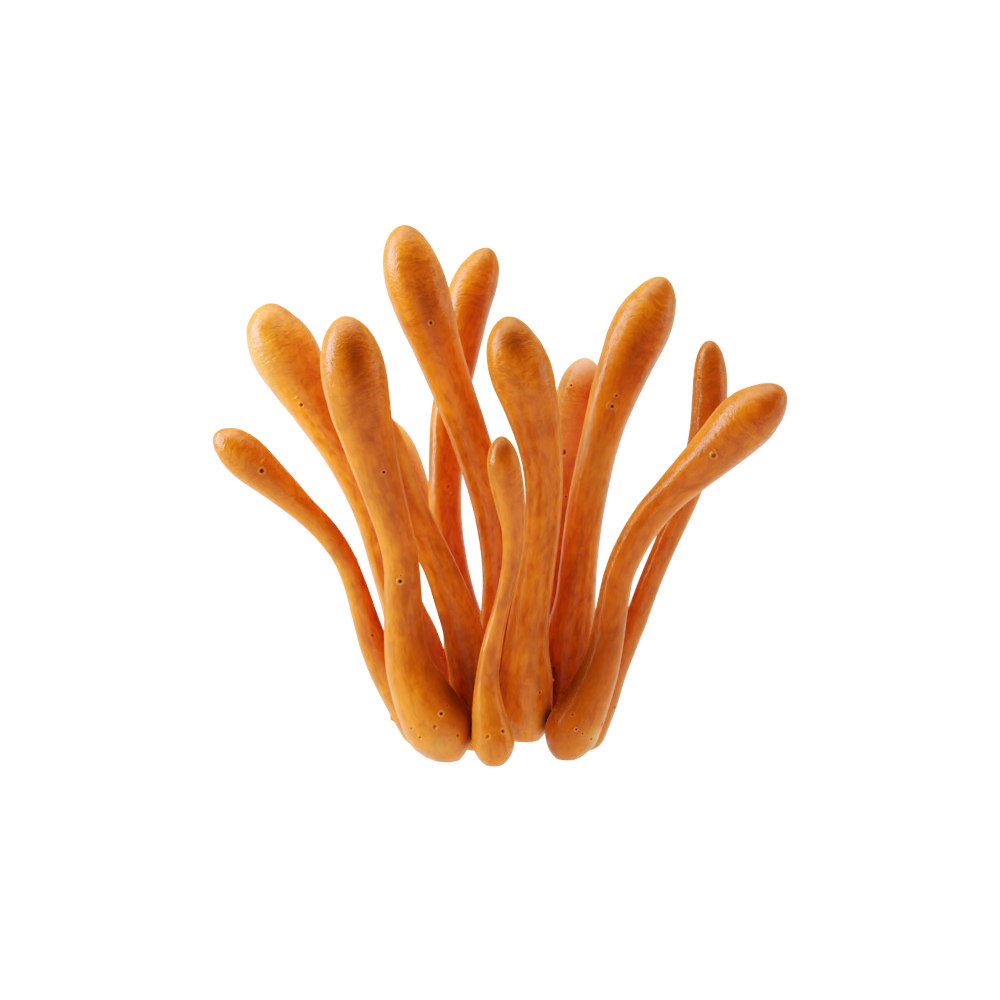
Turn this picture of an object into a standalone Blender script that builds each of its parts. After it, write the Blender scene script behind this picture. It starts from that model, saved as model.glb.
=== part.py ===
# A bunch of thirteen cordyceps clubs that grew side by side and was cut off level.
# It stands on its cut feet. Metres, +Z up, the front is -Y, and the origin is on the
# table under the middle of the bunch.

import math

import bpy
from mathutils import Vector

MM = 0.001
BUNCH = "cordyceps_bunch"

# Both ends of a club are half ellipsoids. Their lengths and flats are shares of the
# club's radius at that end: the head is drawn out, and the foot is blunt and cut level.
HEAD_LENGTH = 2.15
HEAD_FLAT = 0.1
FOOT_LENGTH = 1.2
FOOT_CUT = 0.42

# How finely a club is faceted.
END_RINGS = 5
BODY_RING_SPACING = 4.4 * MM
STEPS_PER_STATION = 12
SIDE_RESOLUTION = 4

SKIN_ROUGHNESS = 0.34
AMBER = (0.68, 0.17, 0.015)
ORANGE = (0.62, 0.14, 0.011)
RUST = (0.54, 0.12, 0.01)

# Each route runs from the tip of the head down to the foot. Its stations are x, y, z and
# the club's radius there, in millimetres, and the rounding of the ends comes on top.
CLUBS = {
    "club_far_left": {
        "colour": AMBER,
        "head_length": 2.1,
        "route": [
            (-38.6, -9.0, 44.9, 3.1),
            (-35.85, -9.0, 42.95, 3.1),
            (-32.45, -8.4, 39.75, 2.75),
            (-27.9, -7.7, 35.5, 1.95),
            (-23.1, -7.0, 30.35, 1.65),
            (-20.6, -6.5, 25.75, 1.55),
            (-19.15, -5.8, 21.1, 1.7),
            (-17.4, -4.8, 15.05, 2.05),
            (-14.8, -3.7, 9.65, 2.6),
            (-12.4, -2.7, 5.05, 2.75),
            (-10.55, -2.1, 0.0, 2.5),
        ],
    },
    "club_left": {
        "colour": AMBER,
        "head_length": 1.7,
        "route": [
            (-32.1, -1.0, 61.9, 4.55),
            (-31.15, -1.0, 58.3, 4.6),
            (-28.9, -1.0, 53.9, 4.5),
            (-25.05, -1.5, 47.35, 3.45),
            (-21.05, -1.9, 40.75, 2.9),
            (-17.65, -2.2, 33.5, 2.65),
            (-15.6, -2.2, 26.5, 2.6),
            (-13.65, -0.9, 19.8, 2.9),
            (-11.65, 1.5, 13.1, 3.7),
            (-10.5, 3.6, 7.2, 3.45),
            (-8.85, 5.1, 0.0, 2.4),
        ],
    },
    "club_front_left": {
        "colour": AMBER,
        "head_length": 1.9,
        "route": [
            (-20.8, -14.0, 61.15, 4.3),
            (-19.95, -14.0, 56.4, 4.35),
            (-19.0, -13.6, 50.75, 4.3),
            (-17.6, -12.6, 44.25, 3.5),
            (-15.25, -11.5, 35.55, 2.7),
            (-13.55, -10.8, 28.6, 2.4),
            (-13.15, -10.4, 21.65, 2.65),
            (-12.95, -10.2, 16.1, 2.85),
            (-11.75, -10.2, 11.1, 3.6),
            (-9.0, -9.9, 5.9, 4.65),
            (-7.4, -9.7, 0.0, 4.4),
        ],
    },
    "club_tallest": {
        "colour": ORANGE,
        "head_length": 2.05,
        "route": [
            (-13.45, -3.0, 72.75, 4.1),
            (-12.3, -3.0, 67.7, 4.1),
            (-10.6, -2.6, 62.15, 4.05),
            (-8.0, -2.0, 54.3, 3.15),
            (-4.8, -1.6, 45.4, 2.7),
            (-1.9, -1.2, 36.15, 2.55),
            (-0.35, -0.5, 27.65, 2.4),
            (-0.15, 0.3, 20.45, 2.4),
            (-0.5, 1.1, 13.15, 2.7),
            (-0.55, 1.6, 5.9, 2.95),
            (-0.4, 1.6, 0.0, 2.85),
        ],
    },
    "club_back_tall": {
        "colour": ORANGE,
        "route": [
            (-1.45, 10.0, 69.0, 3.15),
            (-2.55, 10.0, 66.35, 3.2),
            (-4.2, 9.6, 62.1, 3.25),
            (-5.55, 8.1, 54.85, 2.7),
            (-7.2, 6.1, 46.55, 2.45),
            (-7.65, 4.7, 38.9, 2.4),
            (-7.55, 4.2, 30.45, 2.25),
            (-6.15, 4.5, 22.5, 2.1),
            (-4.55, 5.6, 14.9, 2.55),
            (-4.0, 7.0, 6.95, 2.85),
            (-4.0, 7.8, 0.0, 2.6),
        ],
    },
    "club_back_left": {
        "colour": RUST,
        "head_length": 2.1,
        "route": [
            (-17.2, 9.0, 45.05, 3.55),
            (-15.45, 9.4, 40.65, 3.5),
            (-13.25, 9.8, 35.6, 3.0),
            (-10.85, 10.0, 29.6, 2.45),
            (-8.45, 10.3, 23.3, 2.1),
            (-6.5, 11.2, 16.7, 2.15),
            (-5.5, 12.3, 10.2, 2.6),
            (-5.55, 13.5, 0.0, 2.7),
        ],
    },
    "club_inner_left": {
        "colour": ORANGE,
        "route": [
            (-16.95, -4.6, 47.95, 2.6),
            (-16.0, -4.8, 43.85, 2.65),
            (-14.4, -5.0, 38.9, 2.75),
            (-11.8, -4.9, 32.95, 2.45),
            (-9.1, -4.6, 27.75, 2.25),
            (-7.0, -4.3, 22.5, 2.5),
            (-5.1, -4.0, 16.55, 2.75),
            (-4.0, -3.9, 10.6, 2.85),
            (-3.65, -3.5, 0.0, 2.6),
        ],
    },
    "club_front_small": {
        "colour": AMBER,
        "route": [
            (0.15, -17.0, 45.55, 2.2),
            (0.45, -17.0, 41.95, 2.25),
            (1.15, -16.4, 37.85, 2.15),
            (1.75, -15.3, 32.7, 1.55),
            (1.4, -14.5, 27.45, 1.2),
            (0.15, -13.8, 21.9, 1.1),
            (-0.95, -13.2, 17.1, 1.4),
            (-1.7, -12.9, 12.35, 1.55),
            (-1.65, -12.8, 8.2, 2.1),
            (-1.0, -12.8, 4.3, 2.9),
            (-0.85, -12.8, 0.0, 2.85),
        ],
    },
    "club_front_middle": {
        "colour": AMBER,
        "foot_cut": 0.6,
        "head_length": 2.0,
        "route": [
            (0.7, -7.0, 60.55, 4.3),
            (1.7, -7.0, 56.5, 4.35),
            (3.25, -7.0, 51.9, 4.2),
            (4.7, -6.7, 46.55, 3.45),
            (5.75, -6.4, 40.6, 2.8),
            (5.95, -6.1, 34.1, 2.5),
            (5.3, -6.0, 27.55, 2.45),
            (4.25, -6.0, 20.85, 2.65),
            (3.6, -5.8, 14.55, 3.15),
            (3.55, -5.2, 8.35, 3.8),
            (3.45, -4.7, 1.7, 3.5),
        ],
    },
    "club_back_right": {
        "colour": RUST,
        "head_length": 1.7,
        "route": [
            (12.45, 9.0, 53.5, 3.2),
            (11.45, 9.0, 49.45, 3.2),
            (10.35, 8.5, 44.55, 3.15),
            (9.4, 7.3, 37.3, 2.5),
            (8.8, 6.5, 28.7, 2.3),
            (8.1, 6.4, 20.8, 2.4),
            (7.15, 7.1, 13.45, 2.7),
            (6.3, 7.9, 7.45, 2.95),
            (5.75, 8.4, 0.0, 2.6),
        ],
    },
    "club_right": {
        "colour": ORANGE,
        "head_length": 2.2,
        "route": [
            (22.85, 4.0, 65.2, 4.0),
            (21.25, 4.0, 61.55, 4.1),
            (19.1, 3.8, 57.2, 4.15),
            (16.1, 2.7, 49.8, 3.35),
            (14.0, 1.4, 43.1, 2.75),
            (12.4, 0.5, 35.95, 2.65),
            (11.15, 0.0, 27.6, 2.6),
            (10.5, 0.0, 20.2, 2.85),
            (9.65, 0.4, 14.75, 3.5),
            (9.15, 0.8, 8.65, 4.0),
            (8.6, 1.4, 0.0, 3.1),
        ],
    },
    "club_right_slim": {
        "colour": RUST,
        "head_length": 2.35,
        "route": [
            (28.8, -1.0, 56.9, 2.35),
            (28.9, -1.0, 52.95, 2.35),
            (28.85, -1.5, 48.75, 2.5),
            (28.0, -2.4, 42.9, 2.2),
            (25.65, -2.8, 35.5, 1.8),
            (23.25, -2.8, 29.7, 1.65),
            (21.0, -2.5, 24.15, 1.55),
            (18.7, -2.2, 17.75, 1.65),
            (16.15, -2.5, 11.9, 1.9),
            (14.15, -3.15, 6.7, 2.25),
            (12.25, -3.4, 0.0, 2.1),
        ],
    },
    "club_far_right": {
        "colour": AMBER,
        "head_length": 2.05,
        "route": [
            (37.85, -13.0, 51.45, 3.9),
            (35.6, -13.0, 49.45, 3.95),
            (32.65, -12.5, 46.8, 4.0),
            (27.7, -11.2, 41.65, 3.15),
            (23.05, -10.1, 36.9, 2.4),
            (19.1, -9.3, 31.85, 2.25),
            (16.45, -9.0, 26.25, 2.1),
            (15.15, -9.0, 20.3, 2.2),
            (14.15, -9.0, 14.45, 2.5),
            (12.2, -9.0, 8.75, 3.1),
            (9.95, -9.0, 4.05, 3.75),
            (9.2, -9.0, 0.0, 3.55),
        ],
    },
}


def clear_scene():
    for thing in list(bpy.data.objects):
        bpy.data.objects.remove(thing, do_unlink=True)


def skin_material(name, colour):
    material = bpy.data.materials.new(name + "_skin")
    material.use_nodes = True
    shader = material.node_tree.nodes["Principled BSDF"]
    shader.inputs["Base Color"].default_value = (*colour, 1.0)
    shader.inputs["Roughness"].default_value = SKIN_ROUGHNESS
    shader.inputs["Metallic"].default_value = 0.0
    return material


def between(before, start, end, after, share):
    """A Catmull-Rom curve's value, this share of the way from start to end."""
    bend = 2 * before - 5 * start + 4 * end - after
    twist = 3 * start - before - 3 * end + after
    return start + 0.5 * share * (end - before + share * (bend + share * twist))


def flowing_line(route):
    """Closely spaced (point, radius) pairs on a smooth curve through the route's stations."""
    stations = [Vector(station) * MM for station in route]
    above = 2 * stations[0] - stations[1]
    # Mirroring the last but one station in the plane of the cut brings the foot down upright.
    below = stations[-2].copy()
    below.z = 2 * stations[-1].z - below.z
    stations = [above, *stations, below]
    line = []
    for first in range(len(stations) - 3):
        for step in range(STEPS_PER_STATION):
            line.append(between(*stations[first : first + 4], step / STEPS_PER_STATION))
    line.append(stations[-2])
    return [(station.xyz, station.w) for station in line]


def distances_along(line):
    distances = [0.0]
    for (before, _), (after, _) in zip(line, line[1:]):
        distances.append(distances[-1] + (after - before).length)
    return distances


def at_distance(line, distances, wanted):
    for index in range(1, len(line)):
        if distances[index] >= wanted:
            break
    share = (wanted - distances[index - 1]) / (distances[index] - distances[index - 1])
    point = line[index - 1][0].lerp(line[index][0], share)
    radius = line[index - 1][1] * (1 - share) + line[index][1] * share
    return point, radius


def rounding(distance, length, flat):
    """What an ellipsoid's end leaves of the radius, this far from the end of the club."""
    if distance >= length:
        return 1.0
    return math.sqrt(1 - (1 - flat**2) * (1 - distance / length) ** 2)


def ring_places(total, head, foot):
    """Distances from the tip at which rings sit, close together on the rounded ends."""
    angles = [math.radians(90) * step / END_RINGS for step in range(END_RINGS)]
    places = [head * (1 - math.cos(angle)) for angle in angles]
    body = total - head - foot
    body_steps = round(body / BODY_RING_SPACING)
    places += [head + body * step / body_steps for step in range(body_steps + 1)]
    places += [total - foot * (1 - math.cos(angle)) for angle in reversed(angles)]
    return places


def club_rings(route, head_length, foot_cut):
    line = flowing_line(route)
    distances = distances_along(line)
    total = distances[-1]
    head = head_length * line[0][1]
    foot = FOOT_LENGTH * line[-1][1]
    rings = []
    for place in ring_places(total, head, foot):
        point, radius = at_distance(line, distances, place)
        radius *= rounding(place, head, HEAD_FLAT) * rounding(total - place, foot, foot_cut)
        rings.append((point, radius))
    # The last stretch above the cut is upright, so that the cut is level.
    rings[-2][0].x = rings[-1][0].x
    rings[-2][0].y = rings[-1][0].y
    return rings


def make_club(name, club, collection):
    curve = bpy.data.curves.new(name, "CURVE")
    curve.dimensions = "3D"
    curve.bevel_depth = MM
    curve.bevel_resolution = SIDE_RESOLUTION
    curve.use_fill_caps = True
    head_length = club.get("head_length", HEAD_LENGTH)
    foot_cut = club.get("foot_cut", FOOT_CUT)
    rings = club_rings(club["route"], head_length, foot_cut)
    spline = curve.splines.new("POLY")
    spline.points.add(len(rings) - 1)
    for point, (place, radius) in zip(spline.points, rings):
        point.co = (*place, 1.0)
        point.radius = radius / MM
    spline.use_smooth = True
    curve.materials.append(skin_material(name, club["colour"]))
    made = bpy.data.objects.new(name, curve)
    collection.objects.link(made)
    return made


def stand_over_origin(clubs):
    """Moves the whole bunch sideways, so that the middle of its outline is over the origin."""
    bpy.context.view_layer.update()
    corners = [club.matrix_world @ Vector(corner) for club in clubs for corner in club.bound_box]
    for axis in (0, 1):
        places = [corner[axis] for corner in corners]
        middle = (min(places) + max(places)) / 2
        for club in clubs:
            club.location[axis] -= middle


def build():
    clear_scene()
    collection = bpy.data.collections.new(BUNCH)
    bpy.context.scene.collection.children.link(collection)
    clubs = [make_club(name, club, collection) for name, club in CLUBS.items()]
    stand_over_origin(clubs)


build()
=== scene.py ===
import math
import random

import bmesh
import bpy
import numpy as np
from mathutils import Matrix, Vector, noise
from mathutils.bvhtree import BVHTree


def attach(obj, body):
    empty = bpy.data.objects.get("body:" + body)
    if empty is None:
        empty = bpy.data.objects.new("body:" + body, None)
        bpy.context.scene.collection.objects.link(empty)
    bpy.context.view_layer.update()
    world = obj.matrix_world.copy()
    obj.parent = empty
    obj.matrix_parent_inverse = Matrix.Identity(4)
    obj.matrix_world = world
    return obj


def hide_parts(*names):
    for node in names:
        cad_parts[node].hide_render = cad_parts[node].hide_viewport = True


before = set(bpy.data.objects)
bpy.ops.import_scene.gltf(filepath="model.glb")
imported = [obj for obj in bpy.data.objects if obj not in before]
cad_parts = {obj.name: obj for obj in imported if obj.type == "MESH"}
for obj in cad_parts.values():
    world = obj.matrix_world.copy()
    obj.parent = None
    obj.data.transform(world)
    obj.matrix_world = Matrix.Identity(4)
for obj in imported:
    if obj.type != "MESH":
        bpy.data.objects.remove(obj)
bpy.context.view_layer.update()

mm = 0.001
body = "root"
tiny = 1e-6
noiseMiddle = 0.5


# One output of a node. Sums and products on it add Math nodes.
class Wire:
    def __init__(self, graph, socket):
        self.graph = graph
        self.socket = socket

    def maths(self, operation, first, second):
        return self.graph.node("ShaderNodeMath", {"operation": operation}, {0: first, 1: second})

    def __add__(self, other):
        return self.maths("ADD", self, other)

    def __radd__(self, other):
        return self.maths("ADD", other, self)

    def __sub__(self, other):
        return self.maths("SUBTRACT", self, other)

    def __rsub__(self, other):
        return self.maths("SUBTRACT", other, self)

    def __mul__(self, other):
        return self.maths("MULTIPLY", self, other)

    def __rmul__(self, other):
        return self.maths("MULTIPLY", other, self)

    # 0 below low and 1 above high, with a soft step between them
    def step(self, low, high):
        return self.graph.node(
            "ShaderNodeMapRange",
            {"interpolation_type": "SMOOTHSTEP"},
            {"Value": self, "From Min": low, "From Max": high},
        )


class Graph:
    def __init__(self, tree):
        self.tree = tree
        tree.nodes.clear()

    # Any node, from its type, its settings, which are set first, and the values or links of its sockets
    def node(self, kind, settings, sockets, output=0):
        made = self.tree.nodes.new(kind)
        for name, value in settings.items():
            setattr(made, name, value)
        for name, value in sockets.items():
            if isinstance(value, Wire):
                self.tree.links.new(value.socket, made.inputs[name])
            else:
                made.inputs[name].default_value = value
        return Wire(self, made.outputs[output]) if made.outputs else None

    def blend(self, share, first, second):
        return self.node(
            "ShaderNodeMix",
            {"data_type": "RGBA"},
            {0: share, 6: opaque(first), 7: opaque(second)},
            2,
        )

    # Noise, with a coarseness for each direction of the place
    def grain(self, place, scales, detail, roughness, distortion):
        spread = self.node("ShaderNodeVectorMath", {"operation": "MULTIPLY"}, {0: place, 1: scales})
        return self.node(
            "ShaderNodeTexNoise",
            {},
            {
                "Vector": spread,
                "Scale": 1.0,
                "Detail": detail,
                "Roughness": roughness,
                "Distortion": distortion,
            },
        )

    def painted(self, name, output="Fac"):
        return self.node("ShaderNodeAttribute", {"attribute_name": name}, {}, output)


def opaque(colour):
    return colour if isinstance(colour, Wire) else (*colour, 1.0)


# Colours for each slot. deep and amber are the skin's two main tones, gold is its palest
skins = {
    "amber_skin": {
        "deep": (0.44, 0.086, 0.0022),
        "amber": (0.62, 0.118, 0.0043),
        "gold": (0.84, 0.186, 0.0115),
    },
    "orange_skin": {
        "deep": (0.42, 0.091, 0.0017),
        "amber": (0.60, 0.125, 0.0029),
        "gold": (0.83, 0.194, 0.0086),
    },
    "rust_skin": {
        "deep": (0.44, 0.111, 0.0029),
        "amber": (0.62, 0.146, 0.0055),
        "gold": (0.84, 0.214, 0.0134),
    },
}

# Noise on the skin, in waves a mm: across the club in both directions, and along it
skinPatterns = {
    "blotches": {"scales": (0.17, 0.17, 0.11), "detail": 3.0, "roughness": 0.55, "distortion": 0.4},
    "clouds": {"scales": (0.75, 0.75, 0.45), "detail": 3.0, "roughness": 0.60, "distortion": 0.8},
    "fibres": {"scales": (1.30, 1.30, 0.40), "detail": 2.0, "roughness": 0.60, "distortion": 0.5},
    "arcs": {"scales": (0.36, 0.36, 1.70), "detail": 2.0, "roughness": 0.60, "distortion": 0.7},
    "fineArcs": {"scales": (0.80, 0.80, 2.40), "detail": 2.0, "roughness": 0.60, "distortion": 0.5},
    "specks": {"scales": (2.80, 2.80, 2.80), "detail": 2.0, "roughness": 0.60, "distortion": 0.0},
    "smudges": {"scales": (0.42, 0.42, 0.34), "detail": 2.0, "roughness": 0.50, "distortion": 0.6},
}

# Colours over the blotches, the lowest first. A pattern starts to show at one value of its noise and is
# full at another, and a layer with a part keeps to that part of the club.
colourLayers = [
    {"tone": "gold", "share": 0.20, "pattern": "clouds", "start": 0.48, "full": 0.66},
    {"tone": "ember", "share": 0.32, "pattern": "clouds", "start": 0.50, "full": 0.34},
    {"tone": "gold", "share": 0.20, "pattern": "fibres", "start": 0.50, "full": 0.70, "part": "stem"},
    {"tone": "gold", "share": 0.16, "part": "foot"},
    {"tone": "ochre", "share": 0.20, "pattern": "clouds", "start": 0.56, "full": 0.36, "part": "foot"},
    {"tone": "smudge", "share": 0.45, "pattern": "smudges", "start": 0.54, "full": 0.66, "part": "foot"},
    {"tone": "ember", "share": 0.40, "pattern": "fibres", "start": 0.50, "full": 0.32, "part": "stem"},
    {"tone": "ochre", "share": 0.10, "pattern": "specks", "start": 0.58, "full": 0.74},
    {"tone": "gold", "share": 0.14, "pattern": "arcs", "start": 0.50, "full": 0.66, "part": "head"},
    {"tone": "ember", "share": 0.30, "pattern": "arcs", "start": 0.50, "full": 0.36, "part": "head"},
    {"tone": "gold", "share": 0.10, "pattern": "fineArcs", "start": 0.52, "full": 0.66, "part": "head"},
    {"tone": "ember", "share": 0.22, "pattern": "fineArcs", "start": 0.48, "full": 0.34, "part": "head"},
]

# Colours and finish that all of the clubs share. Heights are in mm, and a step is where something starts
# and where it is full.
skinFinish = {
    # the tint is partly each club's own tone and partly painted light and shade: clubs that catch more light
    # are made paler
    "tint": (1.0, 1.0, 1.0),  # on deep, amber and gold
    "blotchStep": (0.40, 0.58),
    "ember": (0.30, 0.052, 0.0010),
    "ochre": (0.42, 0.130, 0.022),
    "smudge": (0.26, 0.080, 0.012),
    # painted light: the pale tone of broad patches where the skin catches more light
    "bright": (0.88, 0.34, 0.09),
    # painted shade: the dark tone of broad patches where the skin lies in shade
    "paintedShade": (0.13, 0.031, 0.0010),
    # painted shade low down between the clubs
    "creviceShadeTone": (0.078, 0.021, 0.001),
    "creviceShadeShare": 0.85,
    # partly paler skin and partly a painted highlight on raised rims, bumps and crests
    "paleRimAndHighlight": (0.85, 0.36, 0.13),
    "rimShare": 0.25,
    # painted shade inside the pits' hollows
    "pitShade": (0.13, 0.022, 0.006),
    "flesh": (0.80, 0.42, 0.15),
    "fleshStep": (0.35, 0.65),
    "fleshGold": 0.5,
    "sway": 3.2,  # mm that the patterns waver along the club
    "swayPattern": {"scales": (0.30, 0.30, 0.22), "detail": 2.0, "roughness": 0.5, "distortion": 0.0},
    "arcHeight": 0.090,
    "fineArcHeight": 0.080,
    "stemWrinkles": 0.35,  # height of the arcs on the stem, in shares of their height on the head
    "fibreHeight": 0.034,
    "cloudHeight": 0.050,
    "speckHeight": 0.004,
    "roughness": 0.25,
    "roughnessSpread": 0.12,
    "grazingBlend": 0.35,
    "grazingStep": (0.35, 0.95),
    "grazingRoughness": 0.25,
    "fleshRoughness": 0.60,
    "mattRoughness": 0.70,
    "mattCrevice": 0.95,
    "mattShade": 0.80,
    "sheen": 0.24,
    "sheenTint": (1.0, 0.56, 0.20, 1.0),
    "ior": 1.42,
    "gloss": 0.42,
    "translucency": 0.08,
    "scatter": (1.0, 0.4, 0.15),
    "scatterDepth": 0.5 * mm,
}


def skinMaterial(name, slot, changes):
    material = bpy.data.materials.new(name)
    material.use_nodes = True
    graph = Graph(material.node_tree)
    look = {**skinFinish, **skins[slot], **changes}
    for tone in ("deep", "amber", "gold"):
        look[tone] = tuple(np.multiply(look[tone], look["tint"]))
    unbent = graph.painted("unbent", "Vector")
    sway = (graph.grain(unbent, **look["swayPattern"]) - noiseMiddle) * look["sway"]
    upwards = graph.node("ShaderNodeCombineXYZ", {}, {"X": 0.0, "Y": 0.0, "Z": sway})
    place = graph.node("ShaderNodeVectorMath", {"operation": "ADD"}, {0: unbent, 1: upwards})
    patterns = {kind: graph.grain(place, **setting) for kind, setting in skinPatterns.items()}
    head = graph.painted("head")
    stem = 1.0 - head
    parts = {"head": head, "stem": stem, "foot": graph.painted("foot")}
    paintedShade = graph.painted("paintedShade")
    creviceShade = graph.painted("creviceShade")
    cut = graph.painted("cut")

    colour = graph.blend(patterns["blotches"].step(*look["blotchStep"]), look["deep"], look["amber"])
    for layer in colourLayers:
        cover = layer["share"]
        if "pattern" in layer:
            cover = patterns[layer["pattern"]].step(layer["start"], layer["full"]) * cover
        if "part" in layer:
            cover = parts[layer["part"]] * cover
        colour = graph.blend(cover, colour, look[layer["tone"]])
    # Painted light: broad pale patches where the skin catches more light
    colour = graph.blend(graph.painted("light"), colour, look["bright"])
    # Painted shade: broad dark patches where the heads face the dark front and where low sides lie in shadow
    colour = graph.blend(paintedShade, colour, look["paintedShade"])
    # Painted shade low down where the clubs press together
    colour = graph.blend(creviceShade * look["creviceShadeShare"], colour, look["creviceShadeTone"])
    # Partly paler skin and partly a painted highlight on raised rims, bumps and crests
    colour = graph.blend(graph.painted("rim") * look["rimShare"], colour, look["paleRimAndHighlight"])
    # Painted shade inside each pit's hollow
    colour = graph.blend(graph.painted("pit"), colour, look["pitShade"])
    streaks = patterns["specks"].step(*look["fleshStep"]) * look["fleshGold"]
    colour = graph.blend(cut, colour, graph.blend(streaks, look["flesh"], look["gold"]))

    wrinkles = patterns["arcs"] * look["arcHeight"] + patterns["fineArcs"] * look["fineArcHeight"]
    height = wrinkles * (stem * look["stemWrinkles"] + head)
    height = height + patterns["fibres"] * stem * look["fibreHeight"]
    height = height + patterns["clouds"] * look["cloudHeight"] + patterns["specks"] * look["speckHeight"]
    bump = graph.node("ShaderNodeBump", {}, {"Height": height, "Strength": 1.0, "Distance": mm})
    grazing = graph.node("ShaderNodeLayerWeight", {}, {"Blend": look["grazingBlend"]}, "Facing")
    roughness = (patterns["blotches"] - noiseMiddle) * look["roughnessSpread"] + look["roughness"]
    roughness = roughness + grazing.step(*look["grazingStep"]) * look["grazingRoughness"]
    roughness = roughness + cut * (look["fleshRoughness"] - look["roughness"])

    glossy = graph.node(
        "ShaderNodeBsdfPrincipled",
        {"subsurface_method": "RANDOM_WALK"},
        {
            "Base Color": colour,
            "Roughness": roughness,
            "IOR": look["ior"],
            "Specular IOR Level": look["gloss"],
            "Subsurface Weight": look["translucency"],
            "Subsurface Radius": look["scatter"],
            "Subsurface Scale": look["scatterDepth"],
            "Sheen Weight": look["sheen"],
            "Sheen Tint": look["sheenTint"],
            "Normal": bump,
        },
    )
    matt = graph.node(
        "ShaderNodeBsdfPrincipled",
        {},
        {
            "Base Color": colour,
            "Roughness": look["mattRoughness"],
            "Specular IOR Level": 0.0,
            "Normal": bump,
        },
    )
    # Where shade is painted, in the crevices and the dark patches, the skin is matt as well
    dullness = creviceShade * look["mattCrevice"] + paintedShade * look["mattShade"]
    skin = graph.node("ShaderNodeMixShader", {}, {0: dullness, 1: glossy, 2: matt})
    graph.node("ShaderNodeOutputMaterial", {}, {"Surface": skin})
    return material


# Lengths in mm
shape = {
    "weld": 1e-6,  # metres, to join the frame's split faces
    "poleRise": 0.11,  # how far the closed tip is above its last ring, in shares of that ring's radius
    "curveSteps": 24,
    "rowSpacing": 0.26,
    "columnSpacing": 0.22,
    "cutRows": (-0.16, -0.07, 0.0, 0.07, 0.16),  # close rows where the cut face meets the side
    "cutFrom": -0.02,  # flesh starts here, a little in from the edge of the cut
    "cutFade": 1.2,  # relief starts at the edge of the cut and is full here
    "headLength": 20.0,
    "headFull": 0.3,  # where the head's wrinkles are full, in shares of headLength below the tip
    "tipLength": 4.0,
    "tipCalm": 0.6,  # how much weaker they are at the tip
    "footLength": 15.0,
    "footFull": 0.2,  # where the foot's colours are full, in shares of footLength
    "seedShift": (31.0, 0.0, 7.0),  # moves the skin's patterns for each seed
    "pitReach": (2.6, 1.7),  # the mesh is cut finer once within each of these, in widths of the mark
    "haloReach": 1.6,  # and this much further out round a halo
}


# The frame's club is a tube of rings. They are read from the cut upwards, as x, y, z and radius in mm.
def readRings(node):
    tube = bmesh.new()
    tube.from_mesh(node.data)
    bmesh.ops.remove_doubles(tube, verts=tube.verts, dist=shape["weld"])
    tube.verts.index_update()
    lowest = min(point.co.z for point in tube.verts)
    ring = [point for point in tube.verts if point.co.z < lowest + shape["weld"]]
    seen = set()
    rings = []
    while ring:
        centre = sum((point.co for point in ring), Vector()) / len(ring)
        radius = sum((point.co - centre).length for point in ring) / len(ring)
        rings.append([*(centre / mm), radius / mm])
        seen.update(ring)
        near = {edge.other_vert(point) for point in ring for edge in point.link_edges} - seen
        ring = sorted(near, key=lambda point: point.index)
    tube.free()
    return np.array(rings)


# A centripetal Catmull-Rom curve through the stations, without the first and the last one
def smoothCurve(stations, steps):
    gaps = np.sqrt(np.linalg.norm(np.diff(stations, axis=0), axis=1))
    knots = np.concatenate([[0.0], np.cumsum(gaps)])
    samples = []
    for first in range(len(stations) - 3):
        a, b, c, d = stations[first : first + 4]
        ta, tb, tc, td = knots[first : first + 4]
        for t in np.linspace(tb, tc, steps, endpoint=False):
            ab = ((tb - t) * a + (t - ta) * b) / (tb - ta)
            bc = ((tc - t) * b + (t - tb) * c) / (tc - tb)
            cd = ((td - t) * c + (t - tc) * d) / (td - tc)
            abc = ((tc - t) * ab + (t - ta) * bc) / (tc - ta)
            bcd = ((td - t) * bc + (t - tb) * cd) / (td - tb)
            samples.append(((tc - t) * abc + (t - tb) * bcd) / (tc - tb))
    samples.append(stations[-2])
    return np.array(samples)


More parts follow.
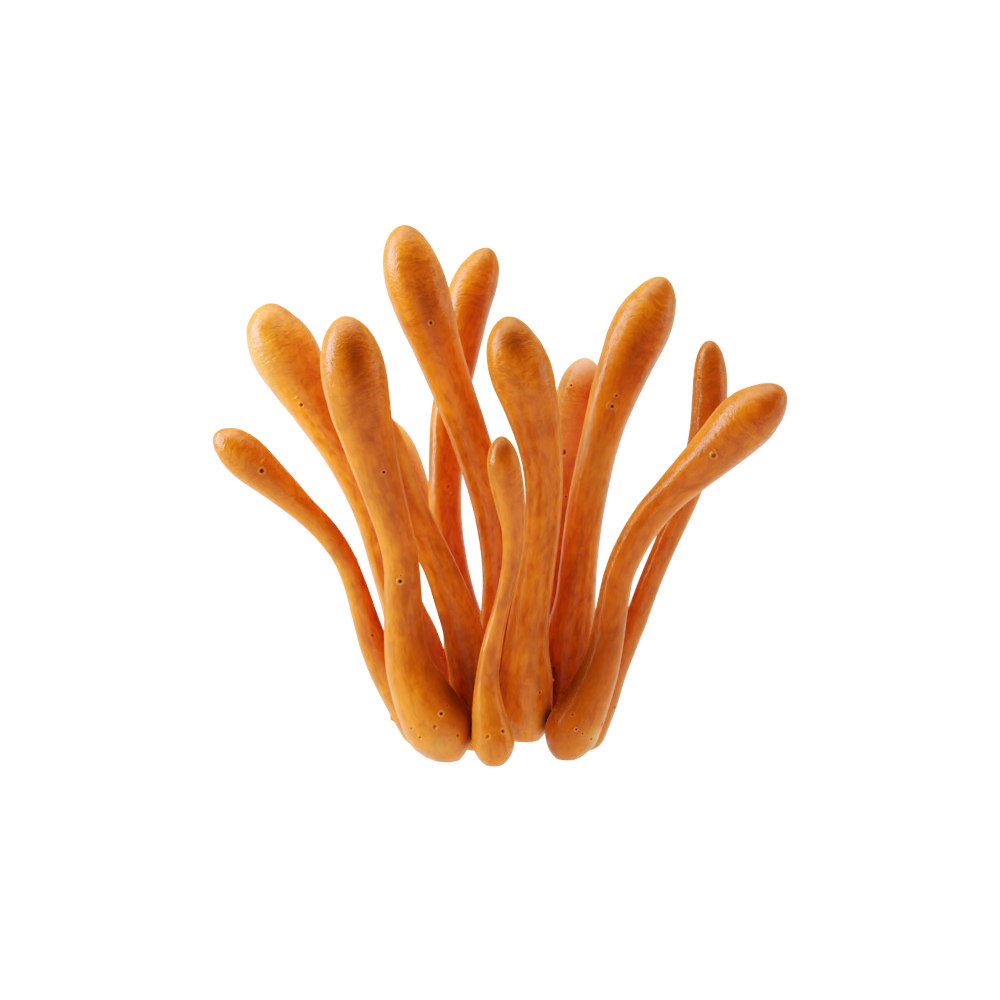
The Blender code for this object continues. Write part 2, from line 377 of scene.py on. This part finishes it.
# The smooth club: where its middle, radius and sideways directions are, for each length along its side
class ClubShape:
    def __init__(self, node):
        rings = readRings(node)
        tip = rings[-1]
        rise = (rings[-1] - rings[-2])[:3]
        rise /= np.linalg.norm(rise)
        pole = np.append(tip[:3] + rise * tip[3] * shape["poleRise"], 0.0)
        mirrored = np.append(tip[:3], -tip[3])
        below = 2 * rings[0] - rings[1]
        line = smoothCurve(np.array([below, *rings, pole, mirrored]), shape["curveSteps"])
        self.middle = line[:, :3]
        self.radius = np.maximum(line[:, 3], 0.0)
        steps = np.linalg.norm(np.diff(self.middle, axis=0), axis=1)
        self.up = np.concatenate([[0.0], np.cumsum(steps)])
        self.along = np.concatenate([[0.0], np.cumsum(np.hypot(steps, np.diff(self.radius)))])
        spaced = self.along + np.arange(len(self.along)) * 1e-9  # no two the same
        self.tangent = np.gradient(self.middle, spaced, axis=0)
        self.tangent /= np.linalg.norm(self.tangent, axis=1, keepdims=True)
        self.slope = np.clip(np.gradient(self.radius, spaced), -1.0, 1.0)
        self.cutRadius = self.radius[0]
        self.height = self.middle[0, 2]
        self.turnFrames()

    # Carries the front direction up the club without twist
    def turnFrames(self):
        front = np.array([0.0, -1.0, 0.0])
        fronts = []
        for tangent in self.tangent:
            front = front - tangent * (front @ tangent)
            front /= np.linalg.norm(front)
            fronts.append(front)
        self.front = np.array(fronts)
        self.right = np.cross(self.tangent, self.front)

    def read(self, values, along):
        if values.ndim == 1:
            return np.interp(along, self.along, values)
        return np.stack([np.interp(along, self.along, column) for column in values.T], axis=1)

    # Places, outward directions and unbent places for angles round the club and lengths along its side.
    # Lengths below zero run inwards over the cut face.
    def surface(self, angle, along):
        onSide = np.maximum(along, 0.0)
        inward = np.minimum(along, 0.0)
        radius = self.read(self.radius, onSide) + inward
        cosine = np.cos(angle)
        sine = np.sin(angle)
        outward = self.read(self.front, onSide) * cosine[:, None]
        outward = outward + self.read(self.right, onSide) * sine[:, None]
        places = self.read(self.middle, onSide) + outward * radius[:, None]
        slope = self.read(self.slope, onSide)[:, None]
        facing = outward * np.sqrt(1 - slope**2) - self.read(self.tangent, onSide) * slope
        facing[along < 0] = (0.0, 0.0, -1.0)
        unbent = np.stack([radius * cosine, radius * sine, self.read(self.up, onSide)], axis=1)
        return places, facing, unbent


def softStep(value, low, high):
    share = np.clip((value - low) / (high - low), 0.0, 1.0)
    return share * share * (3 - 2 * share)


# 1 in the middle, and soft on both sides of it
def hump(value, middle, width):
    return np.exp(-(((value - middle) / width) ** 2))


# Depth, rim and halo are in widths of the mark. A halo is a pair of low arcs at the sides of a pit.
# dark is how strongly shade is painted into a pit's hollow, and pale how much paler its rim, or a bump or
# crest, is painted, partly as paler skin and partly as a painted highlight
markKinds = {
    "pits": {"depth": 0.65, "rim": 0.13, "long": 1.0, "dark": 1.0, "pale": 1.0, "halo": 0.0},
    "haloPits": {"depth": 0.65, "rim": 0.13, "long": 1.0, "dark": 1.0, "pale": 1.0, "halo": 0.16},
    "slots": {"depth": 0.60, "rim": 0.10, "long": 1.9, "dark": 1.0, "pale": 0.8, "halo": 0.0},
    "cups": {"depth": 0.32, "rim": 0.15, "long": 1.0, "dark": 0.35, "pale": 0.7, "halo": 0.0},
    "dents": {"depth": 0.28, "rim": 0.04, "long": 1.0, "dark": 0.5, "pale": 0.2, "halo": 0.0},
    "bumps": {"depth": -0.42, "rim": 0.0, "long": 1.0, "dark": 0.0, "pale": 0.5, "halo": 0.0},
    "crests": {"depth": -0.25, "rim": 0.0, "long": 0.4, "dark": 0.0, "pale": 0.8, "halo": 0.0},
}

# Where the parts of a mark are, in half widths from its middle. haloSides goes from 0, up and down the club,
# to 1, at the sides of the mark.
markForm = {
    "rimAt": 1.5,
    "rimWidth": 0.42,
    "wall": (0.40, 1.10),
    "darkness": (0.30, 1.00),
    "haloAt": 2.9,
    "haloWidth": 0.45,
    "haloSides": (0.45, 0.85),
}


# A place on the side and the club's direction there, from mm up the club and degrees round from its front
def placeOn(club, up, around):
    along = np.array([np.interp(up, club.up, club.along)])
    place = club.surface(np.array([math.radians(around)]), along)[0][0]
    return place, club.read(club.tangent, along)[0]


# Each mark is given as mm up the club, degrees round from its front to its right, and a width in mm
def findMarks(club, settings):
    marks = []
    for kind, traits in markKinds.items():
        for up, around, width in settings.get(kind, []) + strayMarks(club, settings, kind):
            place, tangent = placeOn(club, up, around)
            marks.append({**traits, "place": place, "tangent": tangent, "width": width})
    return marks


# Small marks on the sides and back that the photo doesn't show, different on each club
strayRange = {
    "count": 3,
    "up": (0.08, 0.80),  # shares of the club's length
    "around": (105, 255),  # degrees
    "width": (0.30, 0.50),  # mm
}


def strayMarks(club, settings, kind):
    if kind not in ("pits", "dents"):
        return []
    chance = random.Random(f"{settings['node']} {kind}")
    marks = []
    for _ in range(settings.get("strays", strayRange["count"])):
        up = chance.uniform(*strayRange["up"]) * club.up[-1]
        around = chance.uniform(*strayRange["around"])
        width = chance.uniform(*strayRange["width"])
        marks.append((up, around, width))
    return marks


def markRelief(places, marks):
    relief = np.zeros(len(places))
    pit = np.zeros(len(places))
    rim = np.zeros(len(places))
    for mark in marks:
        half = mark["width"] / 2
        offset = (places - mark["place"]) / half
        lengthwise = offset @ mark["tangent"]
        across = np.linalg.norm(offset - lengthwise[:, None] * mark["tangent"], axis=1)
        away = np.hypot(across, lengthwise / mark["long"])
        ring = hump(away, markForm["rimAt"], markForm["rimWidth"])
        if mark["depth"] > 0:
            hollow = 1 - softStep(away, *markForm["wall"])
            pit = np.maximum(pit, (1 - softStep(away, *markForm["darkness"])) * mark["dark"])
            rim = np.maximum(rim, ring * mark["pale"])
        else:
            hollow = hump(away, 0.0, 1.0)
            rim = np.maximum(rim, hollow * mark["pale"])
        relief += (ring * mark["rim"] - hollow * mark["depth"]) * mark["width"]
        if mark["halo"]:
            sides = softStep(across / np.maximum(away, tiny), *markForm["haloSides"])
            halo = hump(away, markForm["haloAt"], markForm["haloWidth"]) * sides
            relief += halo * mark["halo"] * mark["width"]
            rim = np.maximum(rim, halo * mark["pale"])
    return relief, pit, rim


# Low relief: heights in mm and scales in waves a mm, across and along the club
reliefLook = {
    "swellHeight": 0.060,
    "swellScale": (0.22, 0.16),
    "lumpHeight": 0.030,
    "lumpScale": (0.50, 0.42),
    "arcHeight": 0.020,
    "arcScale": (0.50, 1.60),
    "furrowHeight": 0.008,
    "furrowScale": (1.10, 0.20),
    "seedShift": (17.3, 5.1, 9.7),
}


# Broad swellings, wrinkles across the head and shallow furrows along the stem
def skinRelief(unbent, head, seed):
    shift = Vector([seed * step for step in reliefLook["seedShift"]])

    def rough(name, place):
        wide, tall = reliefLook[name + "Scale"]
        return noise.noise(Vector((place[0] * wide, place[1] * wide, place[2] * tall)) + shift)

    relief = np.empty(len(unbent))
    for k, place in enumerate(unbent):
        relief[k] = rough("swell", place) * reliefLook["swellHeight"]
        relief[k] += rough("lump", place) * reliefLook["lumpHeight"]
        relief[k] += rough("arc", place) * reliefLook["arcHeight"] * head[k]
        relief[k] += rough("furrow", place) * reliefLook["furrowHeight"] * (1 - head[k])
    return relief


def rowPlaces(club):
    cap = np.arange(-club.cutRadius, shape["cutRows"][0], shape["rowSpacing"])
    count = round((club.along[-1] - shape["cutRows"][-1]) / shape["rowSpacing"])
    side = np.linspace(shape["cutRows"][-1], club.along[-1], count + 1)[1:]
    return np.concatenate([cap, shape["cutRows"], side])


# A flat grid of angles across and lengths up, made finer round the marks
def flatGrid(club, marks):
    rows = rowPlaces(club)
    columns = round(2 * math.pi * club.radius.max() / shape["columnSpacing"])
    grid = bmesh.new()
    bmesh.ops.create_grid(grid, x_segments=columns, y_segments=len(rows) - 1, size=1.0)
    for point in grid.verts:
        row = round((point.co.y + 1) / 2 * (len(rows) - 1))
        point.co = (point.co.x * math.pi, rows[row], 0.0)
    for reach in shape["pitReach"]:
        places = club.surface(*np.array([point.co[:2] for point in grid.verts]).T)[0]
        near = np.zeros(len(places), bool)
        for mark in marks:
            span = mark["width"] * reach * (shape["haloReach"] if mark["halo"] else 1.0)
            near |= np.linalg.norm(places - mark["place"], axis=1) < span
        grid.verts.index_update()
        edges = [edge for edge in grid.edges if near[edge.verts[0].index] and near[edge.verts[1].index]]
        bmesh.ops.subdivide_edges(grid, edges=edges, cuts=1, use_grid_fill=True)
    chart = grid.loops.layers.uv.new("OFBake")
    whole = club.along[-1] + club.cutRadius
    for face in grid.faces:
        for corner in face.loops:
            angle, along, _ = corner.vert.co
            corner[chart].uv = (angle / (2 * math.pi) + 0.5, (along + club.cutRadius) / whole)
    mesh = bpy.data.meshes.new("chart")
    grid.to_mesh(mesh)
    grid.free()
    return mesh


# In mm: how near a neighbour is, and how high up the painted shade between the clubs goes
crevices = {
    "close": 0.25,
    "open": 1.7,
    "fadeFrom": 10.0,
    "fadeTo": 24.0,
}


# Painted shade: 1 low down where the clubs press together, and 0 where they are apart or high up
def findCrevices(settings, places):
    corners = []
    faces = []
    for other in clubNodes:
        if other != settings["node"]:
            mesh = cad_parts[other].data
            faces += [[corner + len(corners) for corner in face.vertices] for face in mesh.polygons]
            corners += [point.co / mm for point in mesh.vertices]
    neighbours = BVHTree.FromPolygons(corners, faces)
    gaps = np.full(len(places), crevices["open"])
    for k in np.nonzero(places[:, 2] < crevices["fadeTo"])[0]:
        found = neighbours.find_nearest(places[k], crevices["open"])
        if found[3] is not None:
            gaps[k] = found[3]
    low = 1 - softStep(places[:, 2], crevices["fadeFrom"], crevices["fadeTo"])
    return (1 - softStep(gaps, crevices["close"], crevices["open"])) * low


# How far each place lies in a club's broad soft patches of one kind: pale patches of painted light, dark
# patches of painted shade, bulges, or the deeper painted shade of the crevices. Each patch is given as mm up
# the club, degrees round from its front to its right, width and length in mm, and strength. The strength of
# a bulge is its height in mm.
def findPatches(club, settings, kind, places):
    share = np.zeros(len(places))
    for up, around, width, length, strength in settings.get(kind, []):
        centre, tangent = placeOn(club, up, around)
        offset = places - centre
        lengthwise = offset @ tangent
        across = np.linalg.norm(offset - lengthwise[:, None] * tangent, axis=1)
        spread = np.exp(-((2 * across / width) ** 2) - (2 * lengthwise / length) ** 2)
        share = np.maximum(share, spread * strength)
    return share


def paint(mesh, name, values):
    kind, part = ("FLOAT_VECTOR", "vector") if values.ndim == 2 else ("FLOAT", "value")
    layer = mesh.attributes.new(name, kind, "POINT")
    layer.data.foreach_set(part, values.astype(np.float32).ravel())


def makeClub(settings):
    club = ClubShape(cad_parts[settings["node"]])
    marks = findMarks(club, settings)
    mesh = flatGrid(club, marks)
    flat = np.empty(len(mesh.vertices) * 3, np.float32)
    mesh.vertices.foreach_get("co", flat)
    angle, along, _ = flat.reshape(-1, 3).astype(float).T
    places, facing, unbent = club.surface(angle, along)

    length = club.up[-1]
    headLength = settings.get("headLength", shape["headLength"])
    head = softStep(unbent[:, 2], length - headLength, length - headLength * shape["headFull"])
    head *= 1 - shape["tipCalm"] * softStep(unbent[:, 2], length - shape["tipLength"], length)
    foot = 1 - softStep(unbent[:, 2], shape["footLength"] * shape["footFull"], shape["footLength"])
    relief, pit, rim = markRelief(places, marks)
    relief += skinRelief(unbent, head, settings["seed"])
    relief += findPatches(club, settings, "bulges", places)
    relief *= softStep(along, 0.0, shape["cutFade"])  # the cut face stays flat
    # Painted shade in the crevices and in broad dark patches, and painted light in broad pale patches
    paintedDeepShades = findPatches(club, settings, "paintedDeepShades", places)
    creviceShade = np.maximum(findCrevices(settings, places), paintedDeepShades)
    paintedShade = findPatches(club, settings, "paintedShades", places)
    glow = findPatches(club, settings, "lights", places)
    places = places + facing * relief[:, None]
    places[:, 2] = np.maximum(places[:, 2], club.height)

    mesh.vertices.foreach_set("co", (places * mm).astype(np.float32).ravel())
    paint(mesh, "unbent", unbent + np.multiply(shape["seedShift"], settings["seed"]))
    paint(mesh, "head", head)
    paint(mesh, "foot", foot)
    paint(mesh, "pit", pit)
    paint(mesh, "rim", rim)
    paint(mesh, "creviceShade", creviceShade)
    paint(mesh, "paintedShade", paintedShade)
    paint(mesh, "light", glow)
    paint(mesh, "cut", (along < shape["cutFrom"]).astype(float))
    whole = bmesh.new()
    whole.from_mesh(mesh)
    bmesh.ops.remove_doubles(whole, verts=whole.verts, dist=shape["weld"])
    if whole.calc_volume(signed=True) < 0:
        bmesh.ops.reverse_faces(whole, faces=whole.faces)
    whole.to_mesh(mesh)
    whole.free()
    mesh.shade_smooth()

    name = settings["node"] + "_skin"
    mesh.name = name
    piece = bpy.data.objects.new(name, mesh)
    bpy.context.scene.collection.objects.link(piece)
    mesh.materials.append(skinMaterial(name, settings["slot"], settings.get("skin", {})))
    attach(piece, body)
    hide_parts(settings["node"])
    print(settings["node"], len(mesh.polygons), "faces,", len(marks), "marks")


clubNodes = [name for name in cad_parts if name.startswith("club_")]

# In each club's settings, the pale patches are painted light, the dark patches are painted shade, and the
# tint is partly the club's own tone and partly painted light and shade
farLeft = {
    "node": "club_far_left",
    "slot": "amber_skin",
    "skin": {"tint": (1.10, 1.02, 0.6)},
    "seed": 1,
    "paintedShades": [(46.6, 12, 3.0, 4.0, 0.25)],
    "headLength": 14,
    "pits": [(47.1, 14, 0.60)],
    "slots": [(8.2, -17, 0.45)],
    "dents": [(18.9, 14, 0.50)],
    "bumps": [(6.2, -70, 0.80)],
    "crests": [(47.9, 33, 0.70)],
}
makeClub(farLeft)

left = {
    "node": "club_left",
    "slot": "amber_skin",
    "skin": {"tint": (1.50, 1.48, 1.5)},
    "seed": 2,
    "paintedShades": [(52.7, 18, 4.0, 7.0, 0.3)],
    "lights": [(62.0, -50, 6.0, 9.0, 0.4), (60.0, 5, 8.0, 24.0, 0.12), (17.0, 45, 8.0, 18.0, 0.7)],
    "pits": [(53.2, -18, 0.52)],
    "bumps": [(12.8, 56, 0.60)],
    "crests": [(54.4, -17, 0.60)],
}
makeClub(left)

backLeft = {
    "node": "club_back_left",
    "slot": "rust_skin",
    "skin": {"tint": (1.1, 0.95, 1.1), "gloss": 0.30},
    "seed": 3,
    "paintedShades": [(10.0, -55, 9.0, 26.0, 0.97)],
    "lights": [(44.0, 62, 9.0, 18.0, 0.80)],
}
makeClub(backLeft)

innerLeft = {
    "node": "club_inner_left",
    "slot": "orange_skin",
    "skin": {"tint": (1.25, 1.08, 0.5)},
    "seed": 4,
    "lights": [(41.2, 51, 2.0, 12.0, 0.4)],
    "paintedShades": [(10.0, 0, 8.0, 22.0, 0.7), (14.0, -85, 6.0, 22.0, 0.85)],
    "bumps": [(8.5, -64, 0.45)],
}
makeClub(innerLeft)

frontLeft = {
    "node": "club_front_left",
    "slot": "amber_skin",
    "skin": {"tint": (1.04, 0.94, 0.5)},
    "seed": 5,
    "bulges": [(4.0, 78, 5.0, 5.0, 0.55)],
    "paintedDeepShades": [(6.5, 76, 4.5, 10.0, 0.75)],
    "paintedShades": [
        (58.3, 12, 3.8, 9.0, 0.8),
        (47.5, 9, 4.6, 7.5, 0.3),
        (8.6, 36, 6.0, 8.0, 0.35),
        (8.0, 62, 6.0, 13.0, 0.85),
        (15.0, 55, 5.0, 12.0, 0.45),
    ],
    "lights": [(3.1, -3, 6.0, 3.0, 0.25)],
    "headLength": 22,
    "pits": [(42.1, 21, 0.42), (26.6, -4, 0.55), (27.4, -1, 0.20), (7.2, 23, 0.48)],
    "dents": [
        (6.8, 15, 0.28),
        (6.1, 3, 0.60),
        (5.4, -30, 0.45),
        (7.1, -40, 0.40),
        (3.8, 34, 0.50),
        (7.6, 40, 0.35),
    ],
}
makeClub(frontLeft)

tallest = {
    "node": "club_tallest",
    "slot": "orange_skin",
    "skin": {"tint": (1.22, 1.04, 1.1)},
    "seed": 6,
    "paintedShades": [(63.0, 9, 3.2, 9.0, 0.5)],
    "headLength": 24,
    "pits": [(61.5, 8, 0.44)],
}
makeClub(tallest)

backTall = {
    "node": "club_back_tall",
    "slot": "orange_skin",
    "skin": {"tint": (1.08, 0.97, 0.6)},
    "seed": 7,
    "headLength": 18,
    "dents": [(36.6, 14, 0.50)],
    "bumps": [(35.7, 21, 0.32)],
}
makeClub(backTall)

frontSmall = {
    "node": "club_front_small",
    "slot": "amber_skin",
    "skin": {"tint": (0.94, 0.84, 0.6)},
    "seed": 8,
    "paintedShades": [(45.0, 10, 3.0, 4.5, 0.5)],
    "headLength": 12,
    "pits": [(4.9, 35, 0.50)],
    "dents": [(4.6, -11, 0.60)],
    "strays": 1,
}
makeClub(frontSmall)

frontMiddle = {
    "node": "club_front_middle",
    "slot": "amber_skin",
    "skin": {"tint": (1.09, 1.05, 0.8)},
    "seed": 9,
    "paintedShades": [(56.5, 9, 4.2, 5.4, 0.9)],
    "lights": [(3.6, 42, 4.0, 4.0, 0.4)],
    "pits": [(49.6, 53, 0.20), (7.8, 31, 0.36)],
    "bumps": [(8.6, 86, 0.60)],
}
makeClub(frontMiddle)

backRight = {
    "node": "club_back_right",
    "slot": "rust_skin",
    # Its pale patches and its bluer tint paint a pinkish highlight on its head
    "skin": {"tint": (1.12, 1.05, 1.8), "bright": (0.85, 0.30, 0.15)},
    "seed": 10,
    "lights": [(53.5, 10, 6.0, 6.0, 0.75), (42.0, 5, 6.0, 12.0, 0.35)],
    "pits": [(50.1, -28, 0.36), (34.5, 2, 0.34)],
    "slots": [(40.5, -15, 0.44)],
}
makeClub(backRight)

right = {
    "node": "club_right",
    "slot": "orange_skin",
    "skin": {"tint": (1.15, 1.03, 0.7)},
    "seed": 11,
    "paintedShades": [
        (56.5, 2, 3.4, 12.0, 0.45),
        (45.0, -3, 3.4, 12.0, 0.35),
        (21.3, -39, 4.0, 14.0, 0.4),
        (10.0, -10, 9.0, 20.0, 0.40),
    ],
    "lights": [(40.0, 10, 5.0, 14.0, 0.3)],
    "headLength": 22,
    "pits": [(49.6, 5, 0.38)],
    "haloPits": [(48.0, 3, 0.50)],
    "dents": [(11.4, -31, 0.55)],
}
makeClub(right)

rightSlim = {
    "node": "club_right_slim",
    "slot": "rust_skin",
    "skin": {"tint": (0.8, 0.6, 0.2)},
    "seed": 12,
    "paintedShades": [(57.0, -10, 3.0, 7.0, 0.45)],
    "headLength": 14,
    "slots": [(7.0, 53, 0.30)],
    "strays": 2,
}
makeClub(rightSlim)

farRight = {
    "node": "club_far_right",
    "slot": "amber_skin",
    "skin": {"tint": (0.93, 0.80, 0.3)},
    "seed": 13,
    "paintedShades": [(50.5, -21, 4.0, 8.0, 0.3), (12.0, -60, 7.0, 22.0, 0.90), (5.0, -50, 5.0, 6.0, 0.6)],
    "lights": [(4.8, 60, 4.0, 3.0, 0.5)],
    "paintedDeepShades": [(8.5, -84, 5.0, 9.0, 0.60)],
    "headLength": 19,
    "cups": [(48.8, -4, 0.62)],
    "pits": [(5.1, 1, 0.34), (4.9, 17, 0.30), (4.5, 44, 0.42)],
    "slots": [(6.9, 67, 0.34)],
    "dents": [(6.6, -21, 0.42)],
    "bumps": [(5.6, -70, 0.32)],
    "crests": [(49.5, -10, 0.60)],
}
makeClub(farRight)

# Azimuth 0 is the camera's side and 90 is the right. Colours may be above 1, because the camera's film
# curve ends at filmWhite. Lengths are in metres, and the floor's front and rear steps are along Y.
studio = {
    "white": (3.2, 3.2, 3.2),
    "black": (0.0, 0.0, 0.0),
    "floorSize": 1.2,
    "floorSides": 96,
    "floorDrop": 0.02 * mm,
    "frontGlow": (0.12, 0.12, 0.12),
    "nearGlow": (1.9, 1.9, 1.9),
    "backGlow": (2.0, 2.0, 2.0),
    "frontStep": (-0.32, -0.10),
    "rearStep": (0.03, 0.60),
    "frontWall": (0.03, 0.03, 0.03),
    "backWall": (0.9, 0.9, 0.9),
    "frontCeiling": (3.0, 3.0, 3.0),
    "backCeiling": (6.0, 6.0, 6.0),
    "backStep": (-0.10, 0.40),
    "ceilingStep": (0.52, 1.00),
    "shinyCeilingStep": (0.74, 1.00),  # less of the ceiling shows in the gloss
    "boxDistance": 0.45,
    "softboxes": {
        "leftBox": {"azimuth": -84, "elevation": 10, "size": (0.26, 0.18), "radiance": 17.5},
        "leftRearBox": {"azimuth": -114, "elevation": 10, "size": (0.26, 0.18), "radiance": 6.88},
        "leftHighBox": {"azimuth": -86, "elevation": 33, "size": (0.29, 0.18), "radiance": 10.62},
        "leftRearHighBox": {"azimuth": -122, "elevation": 33, "size": (0.20, 0.18), "radiance": 1.88},
        "leftTopBox": {"azimuth": -72, "elevation": 58, "size": (0.24, 0.20), "radiance": 4.38},
        "rightBox": {"azimuth": 88, "elevation": 10, "size": (0.26, 0.18), "radiance": 2.25},
        "rightHighBox": {"azimuth": 108, "elevation": 33, "size": (0.26, 0.18), "radiance": 1.5},
    },
    # these light the skin and don't show in its gloss
    "unmirrored": ("leftRearBox", "leftRearHighBox", "rightHighBox"),
    "backMirrored": 0.50,  # how much of the room's back shows in the gloss
    "nearMirrored": 0.60,  # and of the floor in front
}


def direction(azimuth, elevation):
    across = math.radians(azimuth)
    lift = math.radians(elevation)
    level = math.cos(lift)
    return Vector((math.sin(across) * level, -math.cos(across) * level, math.sin(lift)))


def makeFloor():
    disc = bmesh.new()
    bmesh.ops.create_circle(disc, cap_ends=True, radius=studio["floorSize"], segments=studio["floorSides"])
    mesh = bpy.data.meshes.new("floor")
    disc.to_mesh(mesh)
    disc.free()
    material = bpy.data.materials.new("paleFloor")
    material.use_nodes = True
    graph = Graph(material.node_tree)
    place = graph.node("ShaderNodeTexCoord", {}, {}, "Object")
    depth = graph.node("ShaderNodeSeparateXYZ", {}, {0: place}, "Y")
    near = depth.step(*studio["frontStep"])
    rear = depth.step(*studio["rearStep"])
    glow = graph.blend(near, studio["frontGlow"], studio["nearGlow"])
    glow = graph.blend(rear, glow, studio["backGlow"])
    mirrored = graph.node("ShaderNodeLightPath", {}, {}, "Is Glossy Ray")
    kept = rear * (studio["backMirrored"] - studio["nearMirrored"]) + studio["nearMirrored"]
    glow = graph.blend(mirrored * (1 - kept), glow, studio["black"])
    seen = graph.node("ShaderNodeLightPath", {}, {}, "Is Camera Ray")
    glow = graph.blend(seen, glow, studio["white"])
    shader = graph.node("ShaderNodeEmission", {}, {"Color": glow, "Strength": 1.0})
    graph.node("ShaderNodeOutputMaterial", {}, {"Surface": shader})
    mesh.materials.append(material)
    floor = bpy.data.objects.new("floor", mesh)
    floor.location.z = -studio["floorDrop"]
    bpy.context.scene.collection.objects.link(floor)


def makeSoftbox(name, azimuth, elevation, size, radiance):
    light = bpy.data.lights.new(name, "AREA")
    light.shape = "RECTANGLE"
    light.size, light.size_y = size
    light.energy = radiance * math.pi * size[0] * size[1]
    holder = bpy.data.objects.new(name, light)
    toLight = direction(azimuth, elevation)
    holder.location = Vector(camera["target"]) + toLight * studio["boxDistance"]
    holder.rotation_euler = toLight.to_track_quat("Z", "Y").to_euler()
    holder.visible_glossy = name not in studio["unmirrored"]
    bpy.context.scene.collection.objects.link(holder)


# A room that is dark in front and bright behind and above, and plain white to the camera
def makeWorld():
    world = bpy.data.worlds.new("paleRoom")
    world.use_nodes = True
    bpy.context.scene.world = world
    graph = Graph(world.node_tree)
    towards = graph.node("ShaderNodeTexCoord", {}, {}, "Generated")
    behind = graph.node("ShaderNodeSeparateXYZ", {}, {0: towards}, "Y").step(*studio["backStep"])
    lift = graph.node("ShaderNodeSeparateXYZ", {}, {0: towards}, "Z")
    mirrored = graph.node("ShaderNodeLightPath", {}, {}, "Is Glossy Ray")
    above = lift.step(*studio["ceilingStep"]) * (1 - mirrored)
    above = above + lift.step(*studio["shinyCeilingStep"]) * mirrored
    front = graph.blend(above, studio["frontWall"], studio["frontCeiling"])
    back = graph.blend(above, studio["backWall"], studio["backCeiling"])
    hidden = mirrored * behind * (1 - studio["backMirrored"])
    seen = graph.node("ShaderNodeLightPath", {}, {}, "Is Camera Ray")
    glow = graph.blend(hidden, graph.blend(behind, front, back), studio["black"])
    glow = graph.blend(seen, glow, studio["white"])
    shader = graph.node("ShaderNodeBackground", {}, {"Color": glow, "Strength": 1.0})
    graph.node("ShaderNodeOutputWorld", {}, {"Surface": shader})


camera = {
    "lens": 100,
    "sensor": 36,
    "clipStart": 10 * mm,
    "distance": 386 * mm,
    "elevation": 8,
    "target": (0.25 * mm, 1.63 * mm, 34.6 * mm),
    "filmWhite": 3.0,
    # light in, and how bright it comes out, between black at 0 and white at filmWhite
    "filmCurve": [
        (0.02, 0.010),
        (0.04, 0.026),
        (0.08, 0.069),
        (0.15, 0.165),
        (0.30, 0.345),
        (0.60, 0.562),
        (1.00, 0.722),
        (1.60, 0.882),
        (2.30, 0.968),
    ],
}


def makeCamera():
    lens = bpy.data.cameras.new("camera")
    lens.lens = camera["lens"]
    lens.sensor_width = camera["sensor"]
    lens.clip_start = camera["clipStart"]
    holder = bpy.data.objects.new("camera", lens)
    back = direction(0, camera["elevation"])
    holder.location = Vector(camera["target"]) + back * camera["distance"]
    holder.rotation_euler = back.to_track_quat("Z", "Y").to_euler()
    bpy.context.scene.collection.objects.link(holder)
    bpy.context.scene.camera = holder


# Deep shades and soft bright tones, as on film
def setFilmCurve():
    view = bpy.context.scene.view_settings
    view.view_transform = "Standard"
    view.look = "None"
    view.use_curve_mapping = True
    mapping = view.curve_mapping
    mapping.white_level = (camera["filmWhite"],) * 3
    for light, shown in camera["filmCurve"]:
        mapping.curves[3].points.new(light / camera["filmWhite"], shown)
    mapping.update()


makeFloor()
for name, setting in studio["softboxes"].items():
    makeSoftbox(name, **setting)
makeWorld()
makeCamera()
setFilmCurve()
print("studio done")
